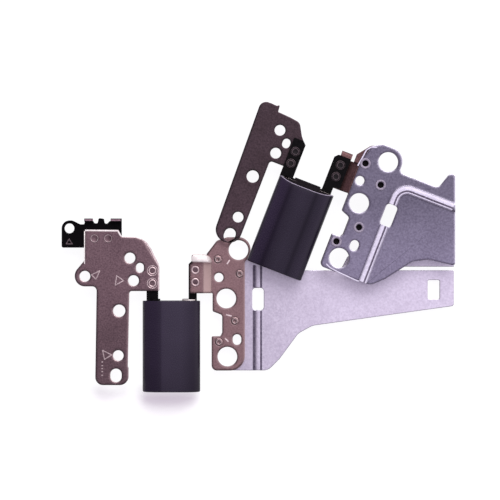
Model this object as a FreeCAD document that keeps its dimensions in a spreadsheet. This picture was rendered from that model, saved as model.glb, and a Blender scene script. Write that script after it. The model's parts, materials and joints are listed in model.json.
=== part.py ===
import FreeCAD, Part
import Sketcher
import math
import os

# Pair of dual-shaft laptop hinges, both opened flat, the right one lying across the left one.
# Each hinge has its own frame: X from the lid side to the base side, Y along the two shafts,
# Z towards the front face, and its zero at the middle of the cover's top edge.

vector = FreeCAD.Vector

# Driving sizes in millimetres
sizes = {
    "shaft_spacing": 9.4,
    "cover_thick": 6.2,
    "cover_length": 24.65,
    "cover_wall": 0.5,
    "cover_floor": 0.8,
    "cover_edge": 0.4,
    "fit_gap": 0.04,
    "stack_gap": 0.05,
    "key_gap": 0.03,
    "shaft_dia": 2.6,
    "shaft_flat": 1.9,
    "shaft_end": 20.6,
    "flange_dia": 3.4,
    "flange_thick": 0.55,
    "end_plate_depth": 0.1,
    "end_plate_thick": 1.2,
    "gear_thick": 2.8,
    "idler_pin_dia": 1.0,
    "tooth_backlash": 0.05,
    "inner_plate_thick": 1.2,
    "disc_thick": 0.6,
    "friction_plate_thick": 0.8,
    "disc_room": 0.3,
    "spring_thick": 0.35,
    "spring_cone": 0.3,
    "nut_thick": 1.9,
    "tab_thick": 1.0,
    "left_lid_tab_out": 2.0,
    "left_lid_tab_in": 1.15,
    "right_lid_tab_out": 3.1,
    "right_lid_tab_in": 0.5,
    "base_tab_out": 3.9,
    "left_base_tab_in": 0.05,
    "right_base_tab_in": 0.6,
    "base_neck_out": 2.15,
    "tab_step": 2.2,
    "tab_top": 10.8,
    "tab_bevel": 0.9,
    "bracket_thick": 0.8,
    "left_lid_rivet_x": -0.4,
    "left_lid_rivet_low": 4.7,
    "left_lid_rivet_high": 8.1,
    "right_lid_rivet_x": -1.45,
    "right_lid_rivet_low": 3.95,
    "right_lid_rivet_high": 7.35,
    "base_rivet_x": 1.75,
    "base_rivet_low": 5.0,
    "base_rivet_high": 8.3,
    "rivet_shank_dia": 1.6,
    "rivet_head_dia": 2.6,
    "rivet_head_thick": 0.25,
    "rivet_dimple_dia": 1.1,
    "rivet_dimple": 0.12,
    "rivet_fit": 0.02,
    "base_jog": 1.8,
    "jog_start": 3.95,
    "jog_end": 6.1,
    "base_tab_low": 2.0,
    "base_tab_high": 10.4,
    "lip_rise": 1.5,
    "lip_reach": 1.9,
    "base_left": 6.4,
    "base_right": 15.1,
    "base_bottom": 18.9,
    "base_foot": 0.25,
    "notch_depth": 2.6,
    "notch_top": 2.9,
    "notch_bottom": 9.65,
    "notch_slant": 1.0,
    "ear_wall": 0.6,
    "ear_shoulder_x": 5.85,
    "ear_shoulder_y": 2.3,
    "slope_foot_x": 4.8,
    "slope_foot_y": 12.6,
    "ear_crown_x": 3.0,
    "left_steel_ear_wall": 0.6,
    "right_steel_ear_wall": 1.1,
    "big_hole_dia": 5.3,
    "left_hole_shift": -0.25,
    "right_hole_shift": -0.17,
    "big_top_x": 13.4,
    "big_top_y": 13.9,
    "big_mid_x": 10.1,
    "big_mid_y": 0.8,
    "big_low_x": 10.4,
    "big_low_y": -14.9,
    "pilot_x": 8.1,
    "pilot_y": 6.5,
    "pilot_dia": 2.45,
    "oval_x": 13.0,
    "oval_y": -10.3,
    "oval_width": 2.3,
    "oval_height": 2.9,
    "steel_thick": 0.7,
    "steel_slot_x": 18.7,
    "steel_slot_y": 0.4,
    "steel_slot_width": 3.1,
    "steel_slot_height": 6.0,
    "arm_slot_x": 66.2,
    "arm_slot_y": 2.95,
    "arm_slot_width": 3.2,
    "arm_slot_height": 5.2,
    "arm_end": 71.7,
    "arm_knee_x": 33.4,
    "arm_low_near": 6.8,
    "arm_low_far": 1.45,
    "arm_top": 12.1,
    "arm_cut_top": 8.2,
    "right_arm_end": 40.3,
    "right_knee_x": 32.9,
    "right_arm_top": 16.9,
    "right_rib_end": 35.6,
    "slit_width": 0.95,
    "slit_start": 53.5,
    "bead_x": 18.6,
    "bead_y": 8.7,
    "bead_turn": 3.4,
    "bead_width": 2.1,
    "bead_height": 0.5,
    "bead_top_width": 1.0,
    "plate_rivet_dia": 1.8,
    "plate_rivet_bore": 1.4,
    "plate_rivet_flare": 2.9,
    "plate_rivet_lip": 0.22,
    "screw_hole_dia": 2.9,
    "left_lid_top_x": -6.44,
    "left_lid_top_y": 11.51,
    "left_lid_low_x": -5.47,
    "left_lid_low_y": 5.42,
    "left_lid_oval_x": -3.74,
    "left_lid_oval_y": 8.89,
    "left_leg_wide_x": -9.34,
    "left_leg_wide_y": -2.7,
    "left_leg_mid_x": -9.58,
    "left_leg_mid_y": -14.77,
    "left_leg_oval_x": -10.19,
    "left_leg_oval_y": -20.13,
    "right_lid_top_x": -7.41,
    "right_lid_top_y": 11.25,
    "right_lid_low_x": -6.25,
    "right_lid_low_y": 5.09,
    "right_lid_oval_x": -4.54,
    "right_lid_oval_y": 8.57,
    "right_leg_wide_x": -9.75,
    "right_leg_wide_y": -3.01,
    "right_leg_mid_x": -9.46,
    "right_leg_mid_y": -14.65,
    "right_leg_oval_x": -9.85,
    "right_leg_oval_y": -19.92,
    "lid_oval_width": 2.1,
    "lid_oval_height": 2.6,
    "leg_wide_dia": 3.3,
    "leg_mid_dia": 2.85,
    "leg_oval_width": 3.05,
    "leg_oval_height": 3.65,
    "lid_ear_x": -18.57,
    "lid_ear_y": 6.6,
    "lid_ear_wall": 1.3,
    "lid_left": 18.8,
    "lid_right": 1.35,
    "lid_tab_low": 2.6,
    "leg_left": 15.4,
    "leg_right": 6.6,
    "leg_bottom": 22.75,
    "leg_lean": 0.4,
    "right_lid_right": 0.5,
    "right_lid_top": 17.1,
    "right_leg_left": 15.0,
    "right_leg_right": 6.95,
    "right_leg_bottom": 22.18,
    "right_leg_taper": 0.95,
    "clip_thick": 0.8,
    "clip_ear_x": -22.8,
    "clip_ear_y": 19.5,
    "clip_ear_dia": 2.65,
    "clip_ear_wall": 0.83,
    "clip_left": 24.9,
    "clip_right": 8.7,
    "clip_neck_span": 6.2,
    "clip_step_span": 7.3,
    "clip_step_y": 0.9,
    "clip_bottom": 14.3,
    "clip_top": 21.5,
    "clip_flange": 0.8,
    "clip_flange_top": 22.15,
    "clip_left_flange": 2.2,
    "clip_right_flange": 2.9,
    "clip_flange_rise": 1.4,
    "clip_rivet_left": -16.0,
    "clip_rivet_right": -12.3,
    "clip_rivet_y": 16.8,
    "clip_rivet_dia": 1.4,
    "rest_gap": 0.05,
    "right_x": 36.51,
    "right_y": 31.06,
    "right_turn": -21.2,
}

# Counts, angles and gear data
main_teeth = 12
idler_teeth = 8
pressure_angle = math.radians(25)
tooth_addendum = 0.75
tooth_dedendum = 1.05
friction_count = 3
spring_count = 4
nut_to_disc_ratio = 0.86

# Free corners of the sheet pieces as (x, y, corner radius), counted from the corner that each note names
left_lid_crown = [(0, 0, 0.7), (9.3, -0.1), (10.1, -2.0, 0.9), (13.9, -2.1, 2.0),
                  (16.0, -2.8, 1.7), (17.8, -6.0, 0.8)]  # from the upper left corner
right_lid_crown = [(0, 0, 2.0), (2.85, 0.1, 0.6), (4.45, 0), (5.15, 0.5, 0.2), (5.35, -1.4, 0.3),
                   (8.95, -1.6, 1.0), (11.85, -2.0, 1.8), (13.75, -5.3, 1.2)]  # from the upper left corner
clip_crest = [(-3.2, 0), (-3.95, -0.75, 0.5), (-4.6, -0.65, 0.4), (-4.8, 0.6, 0.4),
              (-6.2, 0.8, 0.4), (-6.5, -0.65, 0.4), (-7.4, -0.6, 0.5), (-7.7, 0, 0.1)]  # from the upper right
arm_heel = [(-3.8, -2.1, 3.0), (-8.8, -8.9, 2.0)]  # from the knee of the arm
left_arm_rim = [(28.0, 0, 0.8), (30.0, -3.9, 0.8), (41.0, -3.9, 0.8), (43.0, 0, 0.8)]  # from the arm's top

doc = FreeCAD.newDocument("hinge_pair")
sheet = doc.addObject("Spreadsheet::Sheet", "Sizes")
for row, (alias, value) in enumerate(sizes.items(), start=1):
    sheet.set(f"A{row}", alias)
    sheet.set(f"B{row}", str(value))
    sheet.setAlias(f"B{row}", alias)
doc.recompute()


def size(alias):
    return float(sheet.get(alias))


def cell(alias):
    return "Sizes." + alias


# Depths below the cover's top edge, written as sums of cells so that the stack closes up by itself
def depth_after(start, *steps):
    return " + ".join(["(" + start + ")"] + [cell(step) for step in steps])


flange_back = "-" + cell("stack_gap")
flange_front = flange_back + " - " + cell("flange_thick") + " + " + cell("end_plate_depth")
end_plate_top = cell("end_plate_depth")
end_plate_low = depth_after(end_plate_top, "end_plate_thick")
gear_top = depth_after(end_plate_low, "stack_gap")
gear_low = depth_after(gear_top, "gear_thick")
inner_plate_top = depth_after(gear_low, "stack_gap")
inner_plate_low = depth_after(inner_plate_top, "inner_plate_thick")
disc_top = depth_after(inner_plate_low, "stack_gap")
friction_top = depth_after(disc_top, "disc_thick", "stack_gap")
friction_pitch = depth_after("2 * " + cell("stack_gap"), "disc_thick", "friction_plate_thick")
spring_top = f"{disc_top} + {friction_count} * ({friction_pitch}) + {cell('disc_thick')}"
spring_pitch = f"{cell('spring_thick')} + {cell('spring_cone')}"
nut_top = f"{spring_top} + {spring_count} * ({spring_pitch}) + {cell('stack_gap')}"
nut_low = depth_after(nut_top, "nut_thick")

# Levels above the shafts' plane, towards the front face
tab_front = cell("tab_thick") + " / 2"
tab_back = "-" + tab_front
bracket_front = f"{tab_front} + {cell('bracket_thick')}"
plate_front = f"{bracket_front} - {cell('base_jog')}"
plate_back = f"{tab_front} - {cell('base_jog')}"
steel_back = f"{plate_back} - {cell('steel_thick')}"
clip_back = f"{tab_front} - {cell('clip_thick')}"


def number(expression):
    """Value of an expression of cells, for outlines that are worked out point by point."""
    return float(sheet.evalExpression(expression))


def rounded(corners):
    """Lines and arcs of a closed outline whose corners are (x, y) or (x, y, radius)."""
    count = len(corners)
    starts = []
    arcs = []
    for index, corner in enumerate(corners):
        here = vector(corner[0], corner[1], 0)
        radius = corner[2] if len(corner) > 2 else 0
        if radius == 0:
            starts.append((here, here))
            continue
        before = corners[index - 1]
        after = corners[(index + 1) % count]
        back = (vector(before[0], before[1], 0) - here).normalize()
        ahead = (vector(after[0], after[1], 0) - here).normalize()
        half = back.getAngle(ahead) / 2
        run = radius / math.tan(half)
        middle = (back + ahead).normalize()
        first = here + back * run
        last = here + ahead * run
        crown = here + middle * (radius / math.sin(half) - radius)
        arcs.append(Part.Arc(first, crown, last))
        starts.append((first, last))
    lines = []
    for index in range(count):
        leave = starts[index][1]
        arrive = starts[(index + 1) % count][0]
        if leave.distanceToPoint(arrive) > 1e-6:
            lines.append(Part.LineSegment(leave, arrive))
    return lines + arcs


def box_outline(x_low, y_low, x_high, y_high, radius=0):
    return rounded([(x_low, y_low, radius), (x_high, y_low, radius),
                    (x_high, y_high, radius), (x_low, y_high, radius)])


def oval(x, y, width, height):
    """Upright oval hole, round at both ends."""
    return box_outline(x - width / 2, y - height / 2, x + width / 2, y + height / 2, width / 2)


def stadium(radius):
    """Section of the cover and of the plates that join the shafts, round about both shafts."""
    half = size("shaft_spacing") / 2
    left = -half - radius
    right = half + radius
    low = vector(-half, -radius, 0)
    return [
        Part.LineSegment(low, vector(half, -radius, 0)),
        Part.Arc(vector(half, -radius, 0), vector(right, 0, 0), vector(half, radius, 0)),
        Part.LineSegment(vector(half, radius, 0), vector(-half, radius, 0)),
        Part.Arc(vector(-half, radius, 0), vector(left, 0, 0), low),
    ]


def flatted(radius, flat):
    """Round section with two flats, the key between a shaft and what turns with it."""
    end = math.sqrt(radius * radius - flat * flat)
    return [
        Part.LineSegment(vector(-end, flat, 0), vector(end, flat, 0)),
        Part.Arc(vector(end, flat, 0), vector(radius, 0, 0), vector(end, -flat, 0)),
        Part.LineSegment(vector(end, -flat, 0), vector(-end, -flat, 0)),
        Part.Arc(vector(-end, -flat, 0), vector(-radius, 0, 0), vector(-end, flat, 0)),
    ]


def new_body(label):
    body = doc.addObject("PartDesign::Body", label)
    body.Label = label
    body.AllowCompound = True
    return body


def plane_of(body, role):
    for feature in body.Origin.OriginFeatures:
        if feature.Role == role:
            return feature
    raise ValueError(role)


def sketch_on(body, role, offset, edges, circles=()):
    """Sketch at an offset from a plane, with circles held by cells: (x, y, diameter) expressions."""
    sketch = body.newObject("Sketcher::SketchObject", body.Label + "_outline")
    sketch.AttachmentSupport = (plane_of(body, role), [""])
    sketch.MapMode = "FlatFace"
    sketch.setExpression("AttachmentOffset.Base.z", offset)
    for edge in edges:
        sketch.addGeometry(edge, False)
    for x, y, diameter in circles:
        place = vector(number(x), number(y), 0)
        index = sketch.addGeometry(Part.Circle(place, vector(0, 0, 1), number(diameter) / 2), False)
        tie(sketch, index, x, y, diameter)
    return sketch


def tie(sketch, circle, x, y, diameter):
    """Hold one circle's centre and diameter to the sheet."""
    for kind, expression in (("DistanceX", x), ("DistanceY", y)):
        value = number(expression)
        if abs(value) < 1e-9:
            other = "Y" if kind == "DistanceX" else "X"
            line = -2 if other == "Y" else -1
            sketch.addConstraint(Sketcher.Constraint("PointOnObject", circle, 3, line))
            continue
        held = sketch.addConstraint(Sketcher.Constraint(kind, -1, 1, circle, 3, value))
        sketch.setExpression(f"Constraints[{held}]", expression)
    held = sketch.addConstraint(Sketcher.Constraint("Diameter", circle, number(diameter)))
    sketch.setExpression(f"Constraints[{held}]", diameter)


def pad(body, role, low, high, edges, circles=()):
    """Solid between two levels of a plane's normal."""
    sketch = sketch_on(body, role, low, edges, circles)
    feature = body.newObject("PartDesign::Pad", body.Label + "_pad")
    feature.Profile = sketch
    feature.setExpression("Length", f"({high}) - ({low})")
    return feature


def pocket(body, role, low, high, edges, circles=()):
    """Cut between two levels of a plane's normal."""
    sketch = sketch_on(body, role, high, edges, circles)
    feature = body.newObject("PartDesign::Pocket", body.Label + "_pocket")
    feature.Profile = sketch
    feature.setExpression("Length", f"({high}) - ({low})")
    return feature


def deep_pad(body, top, low, edges, circles=()):
    """Solid along the shafts, between two depths below the cover's top edge."""
    return pad(body, "XZ_Plane", top, low, edges, circles)


def facing(side, low, high):
    """Levels of a sheet piece, turned over for the right hinge, whose back face is up."""
    if side == "left":
        return low, high
    return f"-({high})", f"-({low})"


def flat_pad(body, side, low, high, edges, circles=()):
    low, high = facing(side, low, high)
    return pad(body, "XY_Plane", low, high, edges, circles)


def flat_pocket(body, side, low, high, edges, circles=()):
    low, high = facing(side, low, high)
    return pocket(body, "XY_Plane", low, high, edges, circles)


def spaced(body, feature, length, count):
    """Row of like solids along the shafts."""
    pattern = body.newObject("PartDesign::LinearPattern", body.Label + "_row")
    pattern.Originals = [feature]
    pattern.Direction = (feature.Profile[0], ["N_Axis"])
    pattern.setExpression("Length", length)
    pattern.Occurrences = count
    body.Tip = pattern
    return pattern


def plus(first, second):
    return f"{first} + {second}"


# Parts of the turning mechanism

def cover(label):
    body = new_body(label)
    outer = size("cover_thick") / 2
    block = deep_pad(body, "0 * " + cell("cover_length"), cell("cover_length"), stadium(outer))
    doc.recompute()
    edge = body.newObject("PartDesign::Fillet", label + "_edge")
    end = [f"Edge{i + 1}" for i, e in enumerate(block.Shape.Edges)
           if e.CenterOfMass.y < -size("cover_length") + 1e-6]
    edge.Base = (block, end)
    edge.setExpression("Radius", cell("cover_edge"))
    body.Tip = edge
    doc.recompute()
    hollow = f"{cell('cover_length')} - {cell('cover_floor')}"
    pocket(body, "XZ_Plane", "0 * " + cell("cover_length"), hollow, stadium(outer - size("cover_wall")))
    return body


def joining_plate(label, top, low, pins):
    """Plate that both shafts turn in, with holes for the idlers' pins where it carries them."""
    body = new_body(label)
    radius = size("cover_thick") / 2 - size("cover_wall") - size("stack_gap")
    bore = f"{cell('shaft_dia')} + 2 * {cell('fit_gap')}"
    half = cell("shaft_spacing") + " / 2"
    circles = [(half, "0", bore), ("-" + half, "0", bore)]
    if pins:
        bore = f"{cell('idler_pin_dia')} + 2 * {cell('fit_gap')}"
        circles += [(idler_place(1), "0", bore), (idler_place(-1), "0", bore)]
    return body, deep_pad(body, top, low, stadium(radius), circles)


def gear_module():
    return size("shaft_spacing") / 2 / (main_teeth / 2 + idler_teeth)


def idler_place(hand):
    share = idler_teeth / 2 / (main_teeth / 2 + idler_teeth)
    return f"{hand * share} * {cell('shaft_spacing')} / 2"


def gear_outline(teeth, phase):
    """Involute teeth about the origin, the first one centred on the angle phase."""
    module = gear_module()
    pitch = module * teeth / 2
    base = pitch * math.cos(pressure_angle)
    tip = pitch + tooth_addendum * module
    root = pitch - tooth_dedendum * module
    half_tooth = math.pi / (2 * teeth) - size("tooth_backlash") / (2 * pitch)

    def flank(radius):
        lean = math.acos(min(1, base / radius))
        return half_tooth + math.tan(pressure_angle) - pressure_angle - (math.tan(lean) - lean)

    def at(radius, angle):
        return vector(radius * math.cos(angle), radius * math.sin(angle), 0)

    edges = []
    low = max(base, root)
    middle = (low + tip) / 2
    step = 2 * math.pi / teeth
    for tooth in range(teeth):
        angle = phase + tooth * step
        foot = at(root, angle - flank(low))
        edges.append(Part.LineSegment(foot, at(low, angle - flank(low))))
        edges.append(Part.Arc(at(low, angle - flank(low)), at(middle, angle - flank(middle)),
                              at(tip, angle - flank(tip))))
        edges.append(Part.Arc(at(tip, angle - flank(tip)), at(tip, angle), at(tip, angle + flank(tip))))
        edges.append(Part.Arc(at(tip, angle + flank(tip)), at(middle, angle + flank(middle)),
                              at(low, angle + flank(low))))
        edges.append(Part.LineSegment(at(low, angle + flank(low)), at(root, angle + flank(low))))
        edges.append(Part.Arc(at(root, angle + flank(low)), at(root, angle + step / 2),
                              at(root, angle + step - flank(low))))
    return edges


def disc_radius():
    return size("cover_thick") / 2 - size("cover_wall") - size("disc_room")


def key_hole():
    gap = size("key_gap")
    return flatted(size("shaft_dia") / 2 + gap, size("shaft_flat") / 2 + gap)


def shaft_gear(label, phase):
    body = new_body(label)
    deep_pad(body, gear_top, gear_low, gear_outline(main_teeth, phase) + key_hole())
    return body


def idler(label, phase):
    body = new_body(label)
    deep_pad(body, gear_top, gear_low, gear_outline(idler_teeth, phase))
    pin_top = plus(end_plate_top, cell("stack_gap"))
    pin_low = f"{inner_plate_low} - {cell('stack_gap')}"
    deep_pad(body, pin_top, pin_low, [], [("0", "0", cell("idler_pin_dia"))])
    return body


def shaft(label, tab, rivet_places):
    """Shaft with a flange above the end plate, a flatted stem below it and a flat tab for its bracket."""
    body = new_body(label)
    deep_pad(body, flange_front, flange_back + " + " + cell("end_plate_depth"), [],
             [("0", "0", cell("flange_dia"))])
    deep_pad(body, flange_back, plus(end_plate_low, cell("stack_gap")), [], [("0", "0", cell("shaft_dia"))])
    stem = flatted(size("shaft_dia") / 2, size("shaft_flat") / 2)
    deep_pad(body, end_plate_low, cell("shaft_end"), stem)
    holes = [(x, y, cell("rivet_shank_dia")) for x, y in rivet_places]
    pad(body, "XY_Plane", tab_back, tab_front, rounded(tab), holes)
    return body


def lid_shaft_tab(side):
    out = -size(side + "_lid_tab_out")
    inner = size(side + "_lid_tab_in")
    bevel = size("tab_bevel")
    top = size("tab_top")
    return [(out, 0), (inner, 0), (inner, top - bevel), (inner - bevel, top), (out, top, 0.4)]


def base_shaft_tab(side):
    out = size("base_tab_out")
    inner = -size(side + "_base_tab_in")
    bevel = size("tab_bevel")
    top = size("tab_top")
    neck = size("base_neck_out")
    step = size("tab_step")
    return [(inner, 0), (neck, 0), (neck, step, 0.3), (out, step, 0.3), (out, top, 0.4),
            (inner + bevel, top), (inner, top - bevel)]


def keyed_discs(label):
    """Friction discs that turn with a shaft, one more than the plates between them."""
    body = new_body(label)
    rim = [Part.Circle(vector(0, 0, 0), vector(0, 0, 1), disc_radius())]
    low = plus(disc_top, cell("disc_thick"))
    first = deep_pad(body, disc_top, low, rim + key_hole())
    spaced(body, first, f"{friction_count} * ({friction_pitch})", friction_count + 1)
    return body


def friction_set(label):
    """Plates that stay with the cover, one between each two discs."""
    low = plus(friction_top, cell("friction_plate_thick"))
    body, first = joining_plate(label, friction_top, low, pins=False)
    spaced(body, first, f"{friction_count - 1} * ({friction_pitch})", friction_count)
    return body


def spring_set(label):
    """Cone washers in pairs, rim to rim, that press the discs together."""
    hub = size("shaft_dia") / 2 + size("key_gap")
    rim = disc_radius()
    thick = size("spring_thick")
    cone = size("spring_cone")
    washers = []
    for index in range(spring_count):
        top = number(spring_top) + index * number(spring_pitch) + size("stack_gap") / 2
        if index % 2 == 0:
            heights = [(hub, 0), (rim, cone), (rim, cone + thick), (hub, thick)]
        else:
            heights = [(hub, cone), (rim, 0), (rim, thick), (hub, cone + thick)]
        ring = Part.makePolygon([vector(x, -top - y, 0) for x, y in heights + heights[:1]])
        washers.append(Part.Face(ring).revolve(vector(0, 0, 0), vector(0, 1, 0), 360))
    feature = doc.addObject("Part::Feature", label)
    feature.Label = label
    feature.Shape = Part.makeCompound(washers)
    return feature


def nut(label):
    """Square lock nut at the end of a shaft."""
    body = new_body(label)
    half = disc_radius() * nut_to_disc_ratio
    rim = box_outline(-half, -half, half, half, 0.9)
    deep_pad(body, nut_top, nut_low, rim + key_hole())
    return body


# Sheet pieces and rivets

def rivets(label, side, places, low, high, head_low, head_high, dia):
    """Solid rivets with a ring-shaped head at the front and a flat one at the back."""
    body = new_body(label)
    shank = f"{cell(dia)} - 2 * {cell('rivet_fit')}"
    wide = f"{cell('rivet_head_dia')} - ({cell('rivet_shank_dia')} - {cell(dia)})"
    flat_pad(body, side, low, high, [], [(x, y, shank) for x, y in places])
    flat_pad(body, side, high, head_high, [], [(x, y, wide) for x, y in places])
    flat_pad(body, side, head_low, low, [], [(x, y, wide) for x, y in places])
    doc.recompute()
    dimples = [(x, y, cell("rivet_dimple_dia")) for x, y in places]
    flat_pocket(body, side, f"{head_high} - {cell('rivet_dimple')}", head_high, [], dimples)
    return body


def plate_rivets(label, side):
    """Hollow rivets through the base bracket and the steel plate, open and flared at the back."""
    body = new_body(label)
    lip = cell("plate_rivet_lip")
    shank = f"{cell('plate_rivet_dia')} - 2 * {cell('rivet_fit')}"
    places = plate_rivet_places()
    flat_pad(body, side, steel_back, plate_front, [], [(x, y, shank) for x, y in places])
    flat_pad(body, side, f"{steel_back} - {lip}", steel_back, [],
             [(x, y, cell("plate_rivet_flare")) for x, y in places])
    doc.recompute()
    bore = [(x, y, cell("plate_rivet_bore")) for x, y in places]
    flat_pocket(body, side, f"{steel_back} - {lip}", f"{plate_front} - {lip}", [], bore)
    return body


def base_y(side, alias):
    """Height of a base hole, with the small shift that each hinge's own sheets have."""
    return f"{cell(alias)} + {cell(side + '_hole_shift')}"


def plate_rivet_places():
    """Rivets of the base bracket, placed from the big holes beside them."""
    top = (f"{cell('big_top_x')} - 5.6", f"{cell('big_top_y')} - 2.8")
    edge = (f"{cell('big_top_x')} + 0.3", f"{cell('big_top_y')} - 6.7")
    middle = (f"{cell('big_mid_x')} + 2.3", f"{cell('big_mid_y')} - 6.3")
    low = (f"{cell('big_low_x')} - 2.3", f"{cell('big_low_y')} + 3.7")
    return [top, edge, middle, low]


def big_holes(side):
    holes = []
    for place in ("top", "mid", "low"):
        holes.append((cell(f"big_{place}_x"), base_y(side, f"big_{place}_y"), cell("big_hole_dia")))
    holes.append((cell("pilot_x"), base_y(side, "pilot_y"), cell("pilot_dia")))
    return holes


def base_oval(side):
    return oval(size("oval_x"), number(base_y(side, "oval_y")), size("oval_width"), size("oval_height"))


def base_edge(wall, setback):
    """Left side, notch and top ear that the base bracket and the steel plate share."""
    ear = size("big_hole_dia") / 2 + wall
    x_ear = size("big_top_x")
    y_ear = size("big_top_y")
    edge = size("base_left") + setback
    deep = edge + size("notch_depth")
    low = -size("base_bottom")
    foot = edge - size("base_foot")
    slant = size("notch_slant")
    corners = [
        (foot, low, 1.4),
        (foot, -size("notch_bottom"), 0.3),
        (deep - slant / 2, -size("notch_bottom"), 0.5),
        (deep, -size("notch_bottom") + slant, 0.5),
        (deep, -size("notch_top") - slant, 0.8),
        (edge, -size("notch_top"), 0.5),
        (edge, size("base_tab_high") + 1.2),
        (x_ear - size("ear_shoulder_x") + 2 * setback, y_ear + size("ear_shoulder_y") - setback, 1.5),
        (x_ear - size("ear_crown_x"), y_ear + ear, 1.5),
        (x_ear + ear, y_ear + ear, ear),
    ]
    return corners, x_ear + ear


def lid_tab_rivet_places(side):
    x = cell(side + "_lid_rivet_x")
    return [(x, cell(side + "_lid_rivet_low")), (x, cell(side + "_lid_rivet_high"))]


def base_tab_rivet_places():
    x = cell("base_rivet_x")
    return [(x, cell("base_rivet_low")), (x, cell("base_rivet_high"))]


def base_bracket(label, side):
    body = new_body(label)
    start = size("jog_start")
    end = size("jog_end")
    low = size("base_tab_low")
    high = size("base_tab_high")
    bevel = 0.8
    inner = 0.3 - size(side + "_base_tab_in")
    tab = [(inner, low, 0.3), (start, low), (start, high), (inner + bevel, high), (inner, high - bevel)]
    rivet_holes = [(x, y, cell("rivet_shank_dia")) for x, y in base_tab_rivet_places()]
    flat_pad(body, side, tab_front, bracket_front, rounded(tab), rivet_holes)
    jog(body, side, start, end, low, high)
    lip(body, side, 0.9, start, high)
    corners, ear_right = base_edge(size("ear_wall"), 0)
    right = size("base_right")
    corners += [
        (ear_right, size("big_top_y") - 1.8, 1.0),
        (right, size("big_top_y") - 3.4, 0.8),
        (right, -size("base_bottom"), 4.0),
    ]
    slope = (size("slope_foot_x"), size("slope_foot_y"))
    corners[6:7] = [(size("base_left"), low, 0.2), (end, low, 0.2), (end, high), (slope[0], high), slope]
    holes = big_holes(side) + [(x, y, cell("plate_rivet_dia")) for x, y in plate_rivet_places()]
    flat_pad(body, side, plate_back, plate_front, rounded(corners) + base_oval(side), holes)
    return body


def side_level(side, expression):
    level = number(expression)
    return level if side == "left" else -level


def jog(body, side, start, end, low, high):
    """Sloping strip between the tab and the plate of the base bracket."""
    profile = [
        (start, side_level(side, tab_front)),
        (start, side_level(side, bracket_front)),
        (end, side_level(side, plate_front)),
        (end, side_level(side, plate_back)),
    ]
    pad(body, "XZ_Plane", f"-{cell('base_tab_high')}", f"-{cell('base_tab_low')}", rounded(profile))


def lip(body, side, start, end, high):
    """Strip at the head of the tab that curls up towards the front."""
    rise = size("lip_rise")
    reach = size("lip_reach")
    sign = 1 if side == "left" else -1
    back = number(tab_front)
    front = number(bracket_front)
    profile = [
        (high, sign * back), (high + reach, sign * (back + 0.3), 0.8),
        (high + reach, sign * (front + rise)), (high + reach - 0.7, sign * (front + rise)),
        (high + reach - 0.8, sign * (front + 0.1), 0.3), (high, sign * front),
    ]
    pad(body, "YZ_Plane", str(start), str(end), rounded(profile))


def lid_holes(side):
    holes = []
    for place, dia in (("lid_top", "screw_hole_dia"), ("lid_low", "screw_hole_dia"),
                       ("leg_wide", "leg_wide_dia"), ("leg_mid", "leg_mid_dia")):
        holes.append((cell(f"{side}_{place}_x"), cell(f"{side}_{place}_y"), cell(dia)))
    return holes + [(x, y, cell("rivet_shank_dia")) for x, y in lid_tab_rivet_places(side)]


def lid_ovals(side):
    edges = []
    for place in ("lid_oval", "leg_oval"):
        edges += oval(size(f"{side}_{place}_x"), size(f"{side}_{place}_y"),
                      size(place + "_width"), size(place + "_height"))
    return edges


def shifted(corners, x, y):
    return [(x + corner[0], y + corner[1], *corner[2:]) for corner in corners]


def left_lid_outline():
    ear = size("screw_hole_dia") / 2 + size("lid_ear_wall")
    x_ear = size("lid_ear_x")
    y_ear = size("lid_ear_y")
    top = size("clip_rivet_y") + 2.4
    left = -size("lid_left")
    right = size("lid_right")
    slope = ear * math.tan(math.radians(22.5))
    lean = size("leg_lean")
    heel = -size("leg_bottom") + 5.1
    return shifted(left_lid_crown, left, top) + [
        (right, size("left_lid_rivet_high") + 1.3, 1.2),
        (right, size("lid_tab_low"), 0.2), (-size("leg_right"), size("lid_tab_low"), 0.7),
        (-size("leg_right") - lean, heel), (-size("leg_right") - lean + 0.2, heel - 0.5, 0.3),
        (-size("leg_right") - lean + 0.2, -size("leg_bottom"), 2.4),
        (-size("leg_left") - lean, -size("leg_bottom"), 2.1), (-size("leg_left"), y_ear - ear, 1.2),
        (x_ear - ear, y_ear - ear, ear), (x_ear - ear, y_ear + slope, ear),
        (left, y_ear + slope + ear - (left - x_ear), 0.8),
    ]


def right_lid_outline():
    left = -size("right_leg_left")
    right = size("right_lid_right")
    inner = -size("right_leg_right")
    outer = left + size("right_leg_taper")
    tip = (inner - outer) / 2
    return shifted(right_lid_crown, left, size("right_lid_top")) + [
        (right, size("right_lid_rivet_high") + 2.45), (right, size("lid_tab_low"), 0.2),
        (inner, size("lid_tab_low"), 0.8), (inner, -size("right_leg_bottom"), tip - 0.05),
        (outer, -size("right_leg_bottom"), tip - 0.05),
    ]


def lid_bracket(label, side):
    body = new_body(label)
    holes = lid_holes(side)
    if side == "left":
        outline = left_lid_outline()
        holes.append((cell("lid_ear_x"), cell("lid_ear_y"), cell("screw_hole_dia")))
        holes += [(x, y, cell("clip_rivet_dia")) for x, y in clip_rivet_places()]
    else:
        outline = right_lid_outline()
    flat_pad(body, side, tab_front, bracket_front, rounded(outline) + lid_ovals(side), holes)
    return body


def clip_rivet_places():
    return [(cell("clip_rivet_left"), cell("clip_rivet_y")), (cell("clip_rivet_right"), cell("clip_rivet_y"))]


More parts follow.
